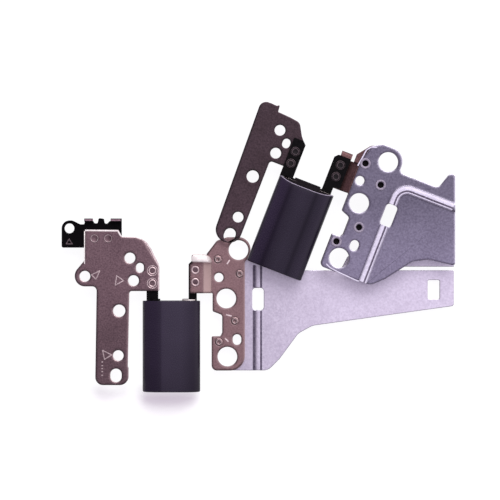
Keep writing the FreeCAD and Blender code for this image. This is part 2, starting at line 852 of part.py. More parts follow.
def cable_clip(label, side):
    """Small black bracket behind the lid bracket, with an ear and two turned-up flanges."""
    body = new_body(label)
    ear = size("clip_ear_dia") / 2 + size("clip_ear_wall")
    x_ear = size("clip_ear_x")
    y_ear = size("clip_ear_y")
    left = -size("clip_left")
    bottom = size("clip_bottom")
    top = size("clip_top")
    right = -size("clip_right")
    neck = left + size("clip_neck_span")
    step_x = left + size("clip_step_span")
    step_y = bottom + size("clip_step_y")
    brow = y_ear + 1.1
    outline = [
        (left, bottom, 0.5), (step_x, bottom, 0.2), (step_x, step_y), (right, step_y, 0.6), (right, top, 0.2),
        *shifted(clip_crest, right, top),
        (neck, top, 0.2), (neck, brow, 0.4), (x_ear + 2.9, brow, 1.0),
        (x_ear + 0.8, y_ear + ear, 1.5), (left, y_ear + ear, ear),
    ]
    holes = [(cell("clip_ear_x"), cell("clip_ear_y"), cell("clip_ear_dia"))]
    holes += [(x, y, cell("clip_rivet_dia")) for x, y in clip_rivet_places()]
    flat_pad(body, side, clip_back, tab_front, rounded(outline), holes)
    rise = f"{tab_front} + {cell('clip_flange_rise')}"
    crest = size("clip_flange_top")
    foot = crest - size("clip_flange")
    flat_pad(body, side, clip_back, rise, box_outline(neck, foot, neck + size("clip_left_flange"), crest))
    flat_pad(body, side, clip_back, rise, box_outline(right - size("clip_right_flange"), foot, right, crest))
    return body


def arm_bottom(corners, end_x, end_low, knee):
    """Lower edge of the steel plate, from its straight bottom to the far end of its arm."""
    near = -size("arm_low_near")
    return corners + [(end_x, end_low, 0.8), (knee, near, 5.0), *shifted(arm_heel, knee, near),
                      (knee - 12.0, -size("base_bottom"), 3.0)]


def arm_slope(x):
    """Height of the arm's straight lower edge at x."""
    near = -size("arm_low_near")
    far = -size("arm_low_far")
    knee = size("arm_knee_x")
    return near + (far - near) * (x - knee) / (size("arm_end") - knee)


def left_steel_outline():
    corners, ear_right = base_edge(size("left_steel_ear_wall"), 0.1)
    top = size("arm_top")
    cut = size("arm_cut_top")
    slit = cut + size("slit_width")
    start = size("slit_start")
    end = size("arm_end")
    corners += [
        (ear_right, top, 1.2), *shifted(left_arm_rim, 0, top),
        (end, top, 0.8), (end, slit), (start, slit, 0.3), (start, cut, 0.3), (end, cut, 0.3),
    ]
    return arm_bottom(corners, end, arm_slope(end), size("arm_knee_x"))


def right_steel_outline():
    corners, ear_right = base_edge(size("right_steel_ear_wall"), 0.1)
    top = size("arm_top")
    turn = math.tan(math.radians(-size("right_turn")))
    end_x = size("right_arm_end")
    end_low = arm_slope(end_x)
    peak = size("right_arm_top")
    upper = end_x - (peak - end_low) * turn
    corners += [(ear_right, top, 1.2), (28.4, top, 1.5), (29.9, peak, 1.3), (upper, peak, 0.6)]
    return arm_bottom(corners, end_x, end_low, size("right_knee_x"))


def straight_rib(half):
    """Rib of the left plate, from the bottom edge to above the slot."""
    x = size("bead_x")
    return [(x - half, -size("base_bottom")), (x + half, -size("base_bottom")),
            (x + half, size("bead_y") + half, half), (x - half, size("bead_y") + half, half)]


def turned_rib(half):
    """Rib of the right plate, which turns and runs on along the arm."""
    x = size("bead_x")
    y = size("bead_y")
    turn = size("bead_turn")
    end = size("right_rib_end")
    lean = half * math.tan(math.radians(-size("right_turn")))
    return [(x - half, -size("base_bottom")), (x + half, -size("base_bottom")),
            (x + half, y - half, turn - half), (end + lean, y - half), (end - lean, y + half),
            (x - half, y + half, turn + half)]


def slot(name, corner):
    """Upright slot with rounded corners, placed and sized by the cells that start with its name."""
    x = size(name + "_x")
    y = size(name + "_y")
    half_width = size(name + "_width") / 2
    half_height = size(name + "_height") / 2
    return box_outline(x - half_width, y - half_height, x + half_width, y + half_height, corner)


def steel_plate(label, side):
    body = new_body(label)
    outline = left_steel_outline() if side == "left" else right_steel_outline()
    holes = big_holes(side) + [(x, y, cell("plate_rivet_dia")) for x, y in plate_rivet_places()]
    path = straight_rib if side == "left" else turned_rib
    flat_pad(body, side, steel_back, plate_back, rounded(outline) + base_oval(side), holes)
    foot = size("bead_width") / 2
    hollow = size("bead_top_width") / 2
    height = cell("bead_height")
    middle = f"{steel_back} - {height} / 2"
    flat_pad(body, side, middle, steel_back, rounded(path(foot)))
    flat_pad(body, side, f"{steel_back} - {height}", middle, rounded(path((foot + hollow) / 2)))
    doc.recompute()
    flat_pocket(body, side, f"{plate_back} - {height}", plate_back, rounded(path(hollow)))
    slots = slot("steel_slot", 0.9)
    if side == "left":
        slots += slot("arm_slot", 0.4)
    flat_pocket(body, side, f"{steel_back} - {height} * 2", f"{plate_back} + {height}", slots)
    return body


groups = {}


def keep(side, part, place):
    groups[part.Label] = (part, side, place)


def build_hinge(side):
    """All pieces of one hinge, each kept with the axis that its own zero lies on."""
    step = math.pi / main_teeth
    idler_step = math.pi / idler_teeth
    keep(side, cover(f"{side}_cover"), "middle")
    keep(side, joining_plate(f"{side}_end_plate", end_plate_top, end_plate_low, pins=True)[0], "middle")
    keep(side, joining_plate(f"{side}_inner_plate", inner_plate_top, inner_plate_low, pins=True)[0], "middle")
    keep(side, friction_set(f"{side}_friction_plates"), "middle")
    keep(side, idler(f"{side}_base_idler", idler_step), "base_idler")
    keep(side, idler(f"{side}_lid_idler", 0), "lid_idler")
    keep(side, shaft_gear(f"{side}_base_gear", 0), "base")
    keep(side, shaft_gear(f"{side}_lid_gear", step), "lid")
    keep(side, shaft(f"{side}_base_shaft", base_shaft_tab(side), base_tab_rivet_places()), "base")
    keep(side, shaft(f"{side}_lid_shaft", lid_shaft_tab(side), lid_tab_rivet_places(side)), "lid")
    for end in ("base", "lid"):
        keep(side, keyed_discs(f"{side}_{end}_discs"), end)
        keep(side, spring_set(f"{side}_{end}_springs"), end)
        keep(side, nut(f"{side}_{end}_nut"), end)
    head_high = f"{bracket_front} + {cell('rivet_head_thick')}"
    head_low = f"{tab_back} - {cell('rivet_head_thick')}"
    keep(side, rivets(f"{side}_lid_rivets", side, lid_tab_rivet_places(side), tab_back, bracket_front,
                      head_low, head_high, "rivet_shank_dia"), "lid")
    keep(side, rivets(f"{side}_base_rivets", side, base_tab_rivet_places(), tab_back, bracket_front,
                      head_low, head_high, "rivet_shank_dia"), "base")
    keep(side, lid_bracket(f"{side}_lid_bracket", side), "lid")
    keep(side, base_bracket(f"{side}_base_bracket", side), "base")
    keep(side, steel_plate(f"{side}_steel_plate", side), "base")
    keep(side, plate_rivets(f"{side}_plate_rivets", side), "base")
    if side == "left":
        keep(side, cable_clip("left_cable_clip", side), "lid")
        keep(side, rivets("left_clip_rivets", side, clip_rivet_places(), clip_back, bracket_front,
                          f"{clip_back} - {cell('rivet_head_thick')}", head_high, "clip_rivet_dia"), "lid")


build_hinge("left")
build_hinge("right")
doc.recompute()


def hinge_frame(side):
    """Where a hinge's own frame lies: the left one on the table, the right one on the left one's plate."""
    rest = size("cover_thick") / 2
    if side == "left":
        return FreeCAD.Placement(vector(0, 0, rest), FreeCAD.Rotation())
    height = rest + number(plate_back) + size("rest_gap") + rest
    turn = FreeCAD.Rotation(vector(0, 0, 1), size("right_turn"))
    return FreeCAD.Placement(vector(size("right_x"), size("right_y"), height), turn)


def axis_place(place):
    half = size("shaft_spacing") / 2
    across = {"middle": 0, "base": half, "lid": -half,
              "base_idler": number(idler_place(1)), "lid_idler": number(idler_place(-1))}
    return FreeCAD.Placement(vector(across[place], 0, 0), FreeCAD.Rotation())


def put_in_place():
    """Seat both hinges, with the zero of the whole part at the middle of the table under it."""
    box = FreeCAD.BoundBox()
    for part, side, place in groups.values():
        part.Placement = hinge_frame(side) * axis_place(place)
        box.add(part.Shape.optimalBoundingBox(False))
    shift = FreeCAD.Placement(vector(-box.Center.x, -box.Center.y, -box.ZMin), FreeCAD.Rotation())
    for part, side, place in groups.values():
        part.Placement = shift * part.Placement
    doc.recompute()
    for side in ("left", "right"):
        print(side, "hinge frame at", (shift * hinge_frame(side)).Base)


put_in_place()

for thing in doc.Objects:
    if "Invalid" in thing.State or "Error" in thing.State:
        raise RuntimeError(f"{thing.Label} failed: {thing.State}")

os.makedirs("parts", exist_ok=True)
for name, (part, side, place) in groups.items():
    if part.Shape.isNull() or not part.Shape.isValid():
        raise RuntimeError(name + " has no valid shape")
    print(name, len(part.Shape.Solids), round(part.Shape.Volume, 2))
    part.Shape.exportStep(os.path.join("parts", name + ".step"))
print(len(groups), "sub-parts written")
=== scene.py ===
import json
import math

import bpy
import bmesh
from mathutils import Matrix, Vector


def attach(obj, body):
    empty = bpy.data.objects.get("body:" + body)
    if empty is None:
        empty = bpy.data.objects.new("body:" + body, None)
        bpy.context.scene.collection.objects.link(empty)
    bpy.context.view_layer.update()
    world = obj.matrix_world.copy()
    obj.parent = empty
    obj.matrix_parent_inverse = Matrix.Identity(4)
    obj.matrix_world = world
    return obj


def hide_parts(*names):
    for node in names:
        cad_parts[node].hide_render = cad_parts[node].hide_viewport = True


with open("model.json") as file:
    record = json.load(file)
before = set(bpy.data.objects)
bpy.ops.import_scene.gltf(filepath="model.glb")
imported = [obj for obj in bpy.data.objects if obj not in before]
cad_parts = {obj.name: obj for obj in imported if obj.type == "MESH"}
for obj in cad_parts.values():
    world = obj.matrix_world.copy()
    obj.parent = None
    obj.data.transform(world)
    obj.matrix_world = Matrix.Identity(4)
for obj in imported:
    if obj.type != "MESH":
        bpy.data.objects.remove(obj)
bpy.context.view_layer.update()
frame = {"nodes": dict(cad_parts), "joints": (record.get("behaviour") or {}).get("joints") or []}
mm = 0.001

# The camera comes first: straight above the pair, at the height that gives 0.27 mm to a pixel

cameraSetup = {
    "centre": (-2.6, -0.8),   # mm on the table
    "width": 135.0,           # mm across the picture, at the level of the left hinge's front
    "level": 3.0,
    "height": 620.0,
    "film": 36.0,             # mm across
}


def makeCamera(setup):
    camera = bpy.data.cameras.new("overheadCamera")
    camera.sensor_width = setup["film"]
    camera.lens = setup["film"] * setup["height"] / setup["width"]
    holder = bpy.data.objects.new("overheadCamera", camera)
    holder.location = Vector((*setup["centre"], setup["level"] + setup["height"])) * mm
    bpy.context.scene.collection.objects.link(holder)
    bpy.context.scene.camera = holder


makeCamera(cameraSetup)
print("camera set")


# Where each hinge lies

# A hinge's own zero is the middle of its cover's top edge. X runs from the lid side to the base side,
# Y along the shafts and Z towards its front face, in millimetres.
def jointPlace(name):
    for joint in frame["joints"]:
        if joint["name"] == name:
            return Vector(joint["pos_m"])


def hingeFrame(side):
    base = jointPlace(side + "_base_fold")
    lid = jointPlace(side + "_lid_fold")
    along = (base - lid).normalized()
    turn = Matrix.Rotation(math.atan2(along.y, along.x), 4, "Z")
    face = 1 if side == "left" else -1     # the right hinge shows its back
    return Matrix.Translation((base + lid) / 2) @ turn @ Matrix.Diagonal((mm, mm, mm * face, 1))


hinges = {side: hingeFrame(side) for side in ("left", "right")}


# Finishes

# Tones are written as they show on a screen, 0 to 255
def tone(red, green, blue):
    def linear(value):
        value = value / 255
        return value / 12.92 if value <= 0.04045 else ((value + 0.055) / 1.055) ** 2.4
    return (linear(red), linear(green), linear(blue), 1)


def newMaterial(name):
    material = bpy.data.materials.new(name)
    material.use_nodes = True
    return material, material.node_tree.nodes, material.node_tree.links


def addNoise(nodes, links, source, scale, detail=3.0, rough=0.55):
    noise = nodes.new("ShaderNodeTexNoise")
    noise.inputs["Scale"].default_value = scale
    noise.inputs["Detail"].default_value = detail
    noise.inputs["Roughness"].default_value = rough
    links.new(source, noise.inputs["Vector"])
    return noise.outputs["Fac"]


def addRange(nodes, links, value, low, high, fromLow=0.3, fromHigh=0.7):
    spread = nodes.new("ShaderNodeMapRange")
    spread.inputs["From Min"].default_value = fromLow
    spread.inputs["From Max"].default_value = fromHigh
    spread.inputs["To Min"].default_value = low
    spread.inputs["To Max"].default_value = high
    links.new(value, spread.inputs["Value"])
    return spread.outputs["Result"]


def addMath(nodes, links, kind, first, second=None):
    step = nodes.new("ShaderNodeMath")
    step.operation = kind
    for index, value in enumerate((first, second)):
        if value is None:
            continue
        if isinstance(value, (int, float)):
            step.inputs[index].default_value = value
        else:
            links.new(value, step.inputs[index])
    return step.outputs[0]


def addMix(nodes, links, share, first, second, kind="MIX"):
    mix = nodes.new("ShaderNodeMix")
    mix.data_type = "RGBA"
    mix.blend_type = kind
    if isinstance(share, (int, float)):
        mix.inputs["Factor"].default_value = share
    else:
        links.new(share, mix.inputs["Factor"])
    for socket, value in (("A", first), ("B", second)):
        slot = [s for s in mix.inputs if s.name == socket and s.type == "RGBA"][0]
        if isinstance(value, tuple):
            slot.default_value = value
        else:
            links.new(value, slot)
    return [s for s in mix.outputs if s.type == "RGBA"][0]


def splitAxes(nodes, links, source):
    axes = nodes.new("ShaderNodeSeparateXYZ")
    links.new(source, axes.inputs["Vector"])
    return axes.outputs


def addFade(nodes, links, spot, fade):
    axis, start, end, first, last = fade
    return addRange(nodes, links, splitAxes(nodes, links, spot)[axis], first, last, start * mm, end * mm)


def addRelief(nodes, links, height, strength, depth):
    bump = nodes.new("ShaderNodeBump")
    bump.inputs["Strength"].default_value = strength
    bump.inputs["Distance"].default_value = depth * mm
    links.new(height, bump.inputs["Height"])
    links.new(bump.outputs["Normal"], nodes["Principled BSDF"].inputs["Normal"])


# How every sheet finish is built up
sheetBuild = {
    "grainDetail": 4.0,
    "grainRough": 0.65,
    "mottle": (0.36, 0.64),      # the part of the fine noise that is spread to full contrast
    "wallTilt": (0.2, 0.6),      # how far a cut wall looks up or down, from all wall to no wall
    "slopeTilt": (0.86, 0.96),
    "rimTurn": (0.9, 0.998),     # how far the rim of painted highlight and shade turns away from its face
    "rimSamples": 6,
    "brightSide": (0.6, 0.8),    # the far right, as shares of X and Y
    "rimLit": (0.0, 0.3),        # how far a rim looks there, from dark to light
    "edgeLit": (-0.1, 0.45),
    "glossSwing": 0.06,
    "reliefDepth": 0.03,         # mm
}


def tiltShare(nodes, links, facing, limits):
    return addRange(nodes, links, addMath(nodes, links, "ABSOLUTE", facing["Z"]), 1, 0, *limits)


def brightShare(nodes, links, facing, limits):
    toRight, toFar = [addMath(nodes, links, "MULTIPLY", facing[axis], share)
                      for axis, share in zip("XY", sheetBuild["brightSide"])]
    return addRange(nodes, links, addMath(nodes, links, "ADD", toRight, toFar), 0, 1, *limits)


def addRim(nodes, links, colour, rim):
    # A rim along every edge in painted light: a painted highlight where the edge looks to the bright side,
    # painted shade elsewhere
    rounded = nodes.new("ShaderNodeBevel")
    rounded.samples = sheetBuild["rimSamples"]
    rounded.inputs["Radius"].default_value = rim["width"] * mm
    softNormal = rounded.outputs["Normal"]
    geometry = nodes.new("ShaderNodeNewGeometry")
    turn = nodes.new("ShaderNodeVectorMath")
    turn.operation = "DOT_PRODUCT"
    links.new(softNormal, turn.inputs[0])
    links.new(geometry.outputs["True Normal"], turn.inputs[1])
    mask = addRange(nodes, links, turn.outputs["Value"], 1, 0, *sheetBuild["rimTurn"])
    lit = brightShare(nodes, links, splitAxes(nodes, links, softNormal), sheetBuild["rimLit"])
    edge = addMix(nodes, links, lit, rim["dark"], rim["light"])
    return addMix(nodes, links, addMath(nodes, links, "MULTIPLY", mask, rim["share"]), colour, edge)


def sheetFinish(name, look):
    # Cloudy patches, fine mottle, painted shade on the cut walls, painted highlights on slopes, rims and
    # bright-side faces, and a grain in gloss and relief
    material, nodes, links = newMaterial(name)
    shader = nodes["Principled BSDF"]
    place = nodes.new("ShaderNodeTexCoord")
    spot = place.outputs["Object"]
    facing = splitAxes(nodes, links, place.outputs["Normal"])
    cloud = addRange(nodes, links, addNoise(nodes, links, spot, look["cloud"]), 0, 1)
    grain = addNoise(nodes, links, spot, look["grain"], sheetBuild["grainDetail"], sheetBuild["grainRough"])
    grain = addRange(nodes, links, grain, 0, 1, *sheetBuild["mottle"])
    patch = addMix(nodes, links, cloud, look["dark"], look["light"])
    speck = addMix(nodes, links, grain, look["speckDark"], look["speckLight"])
    colour = addMix(nodes, links, look["speckle"], patch, speck)
    if "fade" in look:
        colour = addMix(nodes, links, 1.0, colour, addFade(nodes, links, spot, look["fade"]), "MULTIPLY")
    # painted shade on the cut walls, by how far a face turns from up or down
    wall = tiltShare(nodes, links, facing, sheetBuild["wallTilt"])
    colour = addMix(nodes, links, wall, colour, look["wall"])
    # a painted highlight on sloping faces
    if "slope" in look:
        slant = tiltShare(nodes, links, facing, sheetBuild["slopeTilt"])
        colour = addMix(nodes, links, slant, colour, look["slope"])
    if "rim" in look:
        colour = addRim(nodes, links, colour, look["rim"])
    # a painted highlight on faces that look to the bright side
    if "lit" in look:
        lit = brightShare(nodes, links, facing, sheetBuild["edgeLit"])
        colour = addMix(nodes, links, lit, colour, look["lit"])
    links.new(colour, shader.inputs["Base Color"])
    shader.inputs["Specular IOR Level"].default_value = look["specular"]
    swing = sheetBuild["glossSwing"]
    gloss = addRange(nodes, links, grain, look["rough"] - swing, look["rough"] + swing, 0, 1)
    links.new(gloss, shader.inputs["Roughness"])
    shader.inputs["Metallic"].default_value = look["metal"]
    addRelief(nodes, links, grain, look["relief"], sheetBuild["reliefDepth"])
    return material


def metalLook(dark, light, speckDark, speckLight, wall, **more):
    look = {"dark": tone(*dark), "light": tone(*light), "speckDark": tone(*speckDark),
            "speckLight": tone(*speckLight), "wall": tone(*wall), "cloud": 170.0, "grain": 2300.0,
            "speckle": 0.5, "rough": 0.46, "metal": 0.75, "specular": 0.5, "relief": 0.25}
    look.update(more)
    return look


# A rim of painted highlight and painted shade along a sheet's edges: its width, strength, shade and
# highlight
def rimLightAndShade(width, share, dark, light):
    return {"width": width, "share": share, "dark": tone(*dark), "light": tone(*light)}


# Dark and light of the patches, dark and light of the mottle, and the painted shade of the cut walls.
# "fade" is an axis, a start and an end along it in mm, and the shade at each.
sheetLooks = {
    "leftLidPlating": metalLook(
        (94, 71, 80), (118, 92, 101), (74, 54, 63), (130, 104, 112), (44, 30, 34),
        fade=("Y", -22.0, -15.0, 0.76, 1.0), rim=rimLightAndShade(1.2, 1.0, (22, 12, 17), (150, 124, 130))),
    # the slope of its jog carries a painted highlight
    "leftBasePlating": metalLook(
        (124, 94, 99), (138, 108, 113), (112, 84, 88), (152, 122, 126), (60, 40, 42),
        slope=tone(184, 157, 156), rim=rimLightAndShade(1.1, 1.0, (26, 14, 18), (168, 140, 142))),
    "rightLidPlating": metalLook(
        (60, 44, 52), (78, 60, 70), (48, 34, 41), (92, 72, 81), (26, 17, 21),
        fade=("Y", 2.0, 18.0, 1.06, 0.7), rim=rimLightAndShade(1.1, 1.0, (14, 7, 11), (70, 52, 61))),
    "rightBasePlating": metalLook(
        (80, 52, 54), (102, 70, 72), (66, 42, 44), (118, 86, 88), (44, 26, 26),
        rim=rimLightAndShade(0.5, 1.0, (24, 12, 14), (120, 88, 90))),
    "leftZinc": metalLook(
        (196, 184, 206), (212, 201, 222), (186, 175, 197), (222, 212, 232), (120, 112, 130),
        cloud=120.0, grain=1900.0, rough=0.42, metal=0.8, fade=("X", -4.0, 24.0, 0.86, 1.08),
        rim=rimLightAndShade(0.4, 0.8, (104, 96, 114), (232, 224, 242))),
    # the same zinc as the left plate, painted darker: painted shade
    "rightZinc": metalLook(
        (112, 104, 127), (130, 122, 146), (102, 94, 117), (142, 134, 158), (80, 74, 92),
        cloud=120.0, grain=1900.0, rough=0.42, metal=0.8, fade=("Y", -4.0, 12.0, 1.12, 0.7),
        rim=rimLightAndShade(1.0, 1.0, (56, 48, 66), (206, 198, 218))),
    "blackClip": metalLook(
        (6, 4, 7), (9, 7, 9), (4, 3, 5), (14, 10, 14), (16, 11, 14),
        rough=0.42, metal=0.05, specular=0.03),
    "blackShaft": metalLook(
        (7, 6, 8), (11, 9, 11), (5, 4, 6), (18, 15, 18), (8, 6, 8),
        rough=0.4, metal=0.1, specular=0.05),
    # Finishes of the broken edges; their lit tone is a painted highlight where an edge looks to the bright
    # side
    "brownEdge": metalLook(
        (44, 30, 36), (70, 52, 58), (34, 22, 27), (92, 72, 78), (34, 22, 27),
        lit=tone(200, 176, 180), grain=1200.0, rough=0.3, metal=0.85),
    "darkEdge": metalLook(
        (24, 15, 20), (40, 28, 34), (18, 11, 15), (56, 42, 48), (22, 14, 18),
        lit=tone(84, 66, 74), grain=1200.0, rough=0.3, metal=0.85),
    "clipEdge": metalLook(
        (10, 8, 10), (20, 16, 19), (8, 6, 8), (30, 25, 29), (18, 14, 17),
        lit=tone(110, 90, 98), grain=1200.0, rough=0.32, metal=0.6, specular=0.15),
    # a painted highlight on the tops of the clip's flanges
    "clipSheen": metalLook(
        (118, 92, 104), (140, 112, 124), (98, 74, 86), (162, 134, 146), (60, 44, 52),
        grain=1500.0, rough=0.5, metal=0.1, specular=0.2),
    # the zinc plates' broken edges, with the same painted highlight
    "zincEdge": metalLook(
        (104, 96, 114), (130, 122, 140), (88, 80, 98), (150, 142, 160), (84, 76, 92),
        lit=tone(240, 234, 248), grain=1200.0, rough=0.3, metal=0.85),
    # a painted highlight: the right plate's ridge and its broken edge
    "zincHighlight": metalLook(
        (198, 190, 211), (216, 208, 228), (186, 178, 199), (226, 218, 238), (150, 142, 162),
        grain=1500.0, rough=0.5, metal=0.15, specular=0.2),
    # a painted highlight on the rim of the right cover's mouth
    "mouthRimHighlight": metalLook(
        (134, 124, 142), (164, 154, 172), (116, 106, 124), (184, 174, 192), (116, 106, 124),
        grain=1500.0, rough=0.5, metal=0.1, specular=0.2),
    # a painted highlight: the lip, the washers' glints and the bright edges at the lid bracket's head
    "paleLip": metalLook(
        (236, 226, 226), (250, 242, 240), (222, 208, 208), (255, 250, 248), (190, 168, 168),
        grain=1500.0, rough=0.36, metal=0.35),
    # painted shade on the flanks of the groove and the ridge
    "zincFlankShade": metalLook(
        (84, 74, 94), (108, 98, 118), (70, 60, 80), (126, 116, 136), (60, 52, 68),
        grain=1500.0, rough=0.45, metal=0.6),
    # a painted highlight down the left lid bracket's right edge; also the colour of the base bracket's
    # ticks
    "rimPlating": metalLook(
        (206, 184, 188), (226, 206, 208), (188, 164, 170), (240, 222, 224), (120, 96, 104),
        grain=1500.0, rough=0.36, metal=0.5),
    # a painted highlight on the left rivets' crests
    "rivetMetal": metalLook(
        (182, 156, 160), (208, 184, 188), (158, 132, 138), (226, 206, 208), (100, 76, 80),
        grain=1500.0, rough=0.32, metal=0.7),
    "rivetValley": metalLook(
        (84, 62, 70), (104, 80, 88), (70, 50, 57), (120, 96, 104), (50, 35, 40),
        grain=1500.0, rough=0.4, metal=0.7),
    "darkRivet": metalLook(
        (16, 13, 16), (26, 21, 25), (11, 9, 11), (36, 30, 35), (12, 9, 12),
        grain=1500.0, rough=0.34, metal=0.3, specular=0.15),
    "dimRing": metalLook(
        (84, 70, 76), (110, 94, 100), (66, 54, 60), (132, 116, 122), (44, 34, 38),
        grain=1500.0, rough=0.3, metal=0.6, specular=0.2),
    "zincRing": metalLook(
        (128, 118, 136), (152, 142, 160), (108, 98, 116), (172, 162, 180), (78, 66, 84),
        grain=1500.0, rough=0.5, metal=0.1, specular=0.2),
    # painted shade: bores, the end plates and the stop plate in the dark of the mouths
    "boreShade": metalLook(
        (16, 12, 16), (26, 20, 26), (10, 8, 10), (36, 28, 34), (10, 7, 10),
        rough=0.5, metal=0.3, specular=0.1),
    "markMetal": metalLook(
        (158, 138, 142), (182, 162, 166), (136, 116, 120), (202, 184, 188), (110, 88, 92),
        rough=0.4, metal=0.4),
    "springSteel": metalLook(
        (96, 94, 98), (120, 117, 120), (80, 78, 82), (136, 132, 136), (70, 68, 72),
        rough=0.35),
    "plateSteel": metalLook(
        (168, 163, 158), (190, 184, 176), (150, 145, 140), (206, 200, 190), (120, 114, 110),
        rough=0.33, metal=0.9),
    "gearBrass": metalLook(
        (176, 146, 92), (204, 172, 112), (150, 122, 74), (220, 190, 130), (130, 100, 60),
        rough=0.3, metal=0.95),
}
finishes = {name: sheetFinish(name, look) for name, look in sheetLooks.items()}
print("sheet finishes mixed:", len(finishes))


# Painted reflections: bands that run along the cover, each a place across it, from -1 to 1, and the
# strength of paint and shine there
coverPaintAndReflections = {
    "base": tone(30, 18, 42),
    "soft": tone(36, 24, 48),
    "rough": 0.26,
    "specular": 0.4,
    "glossSwing": (-0.04, 0.05),
    "cloud": 90.0,
    "grain": 5200.0,
    "noiseDetail": 2.0,
    "relief": 0.06,
    "reliefDepth": 0.02,     # mm
    "fade": ("Y", -38.0, -24.0, 0.72, 1.0),
    "strongest": 1.2,        # no band is stronger
    "bands": {
        "left": [(-1.0, 0.55), (-0.9, 0.95), (-0.36, 0.84), (-0.32, 1.12), (0.35, 1.06), (0.7, 0.78),
                 (1.0, 0.6)],
        "right": [(-1.0, 0.6), (-0.85, 1.05), (-0.62, 0.8), (-0.5, 0.45), (-0.38, 0.6), (0.0, 0.74),
                  (0.3, 0.66), (0.42, 0.42), (0.55, 0.62), (0.8, 0.8), (0.92, 0.5), (1.0, 0.4)],
    },
}


def paintAndReflectionFinish(name, look, bands):
    # Painted reflections in bands along the cover, and a faint orange peel in gloss and relief
    material, nodes, links = newMaterial(name)
    shader = nodes["Principled BSDF"]
    spot = nodes.new("ShaderNodeTexCoord").outputs["Object"]
    across = nodes.new("ShaderNodeAttribute")
    across.attribute_name = "across"
    spread = addRange(nodes, links, across.outputs["Fac"], 0, 1, -1, 1)
    ramp = nodes.new("ShaderNodeValToRGB")
    stops = ramp.color_ramp.elements
    while len(stops) < len(bands):
        stops.new(0.5)
    for stop, (where, strength) in zip(stops, bands):
        share = strength / look["strongest"]
        stop.position = (where + 1) / 2
        stop.color = (share, share, share, 1)
    links.new(spread, ramp.inputs["Fac"])
    strength = addMath(nodes, links, "MULTIPLY", ramp.outputs["Color"], look["strongest"])
    strength = addMath(nodes, links, "MULTIPLY", strength, addFade(nodes, links, spot, look["fade"]))
    cloud = addRange(nodes, links, addNoise(nodes, links, spot, look["cloud"], look["noiseDetail"]), 0, 1)
    colour = addMix(nodes, links, cloud, look["base"], look["soft"])
    links.new(addMix(nodes, links, 1.0, colour, strength, "MULTIPLY"), shader.inputs["Base Color"])
    shine = addMath(nodes, links, "MULTIPLY", strength, look["specular"])
    links.new(shine, shader.inputs["Specular IOR Level"])
    grain = addNoise(nodes, links, spot, look["grain"], look["noiseDetail"])
    dull, bright = look["glossSwing"]
    gloss = addRange(nodes, links, grain, look["rough"] + dull, look["rough"] + bright)
    links.new(gloss, shader.inputs["Roughness"])
    addRelief(nodes, links, grain, look["relief"], look["reliefDepth"])
    return material


for side, bands in coverPaintAndReflections["bands"].items():
    finishes[side + "CoverReflectionPaint"] = paintAndReflectionFinish(side + "CoverReflectionPaint", coverPaintAndReflections, bands)
print("cover paint mixed")


# Every new piece rides on a body

def showPiece(name, mesh, body):
    piece = bpy.data.objects.new(name, mesh)
    bpy.context.scene.collection.objects.link(piece)
    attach(piece, body)
    return piece


edgeBreak = {
    "join": 0.002,     # mm, closer points become one
    "flat": 0.5,       # degrees, flatter neighbours become one face
    "corner": 32,      # degrees, sharper edges are broken
    "segments": 2,
}

# The rib of the right plate runs past the plate's cut edge, so that plate is drawn again without the end

trimmedPlate = {
    "node": "right_steel_plate",
    "name": "rightSteelPlate",
    "edge": 52.5,         # mm along the table's X
    "touch": 0.0005,      # mm, points this near the cut lie on it
    "level": 0.99,        # how straight up or down a face has to look to be one of the flat ones
}


def trimPlate(setup):
    node = frame["nodes"][setup["node"]]
    bm = bmesh.new()
    bm.from_mesh(node.data)
    bm.transform(node.matrix_world)
    bmesh.ops.remove_doubles(bm, verts=bm.verts, dist=edgeBreak["join"] * mm)
    cut = bmesh.ops.bisect_plane(bm, geom=bm.verts[:] + bm.edges[:] + bm.faces[:], dist=setup["touch"] * mm,
                                 plane_co=(setup["edge"] * mm, 0, 0), plane_no=(1, 0, 0), clear_outer=True)
    rim = [part for part in cut["geom_cut"] if isinstance(part, bmesh.types.BMEdge) and part.is_boundary]
    bmesh.ops.triangle_fill(bm, edges=rim, use_beauty=True, normal=(1, 0, 0))
    for face in bm.faces:
        face.smooth = abs(face.normal.z) > setup["level"]
    print("plate trimmed, open edges left:", sum(edge.is_boundary for edge in bm.edges))
    mesh = bpy.data.meshes.new(setup["name"])
    bm.to_mesh(mesh)
    bm.free()
    piece = showPiece(setup["name"], mesh, "bases")
    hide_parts(setup["node"])
    return piece


redrawn = {trimmedPlate["node"]: trimPlate(trimmedPlate)}


# Carried-over pieces: joined up, edges broken, and given their finish

def dressNode(name, face, edge, width, tight=True):
    piece = redrawn.get(name) or frame["nodes"][name]
    piece.data.materials.clear()
    piece.data.materials.append(finishes[face])
    piece.data.materials.append(finishes[edge])
    weld = piece.modifiers.new("weld", "WELD")
    weld.merge_threshold = edgeBreak["join"] * mm
    flat = piece.modifiers.new("flatFaces", "DECIMATE")
    flat.decimate_type = "DISSOLVE"
    flat.angle_limit = math.radians(edgeBreak["flat"])
    bevel = piece.modifiers.new("brokenEdges", "BEVEL")
    bevel.width = width * mm
    bevel.segments = edgeBreak["segments"]
    bevel.limit_method = "ANGLE"
    bevel.angle_limit = math.radians(edgeBreak["corner"])
    bevel.use_clamp_overlap = tight
    bevel.material = 1
    normals = piece.modifiers.new("evenShading", "WEIGHTED_NORMAL")
    normals.keep_sharp = False


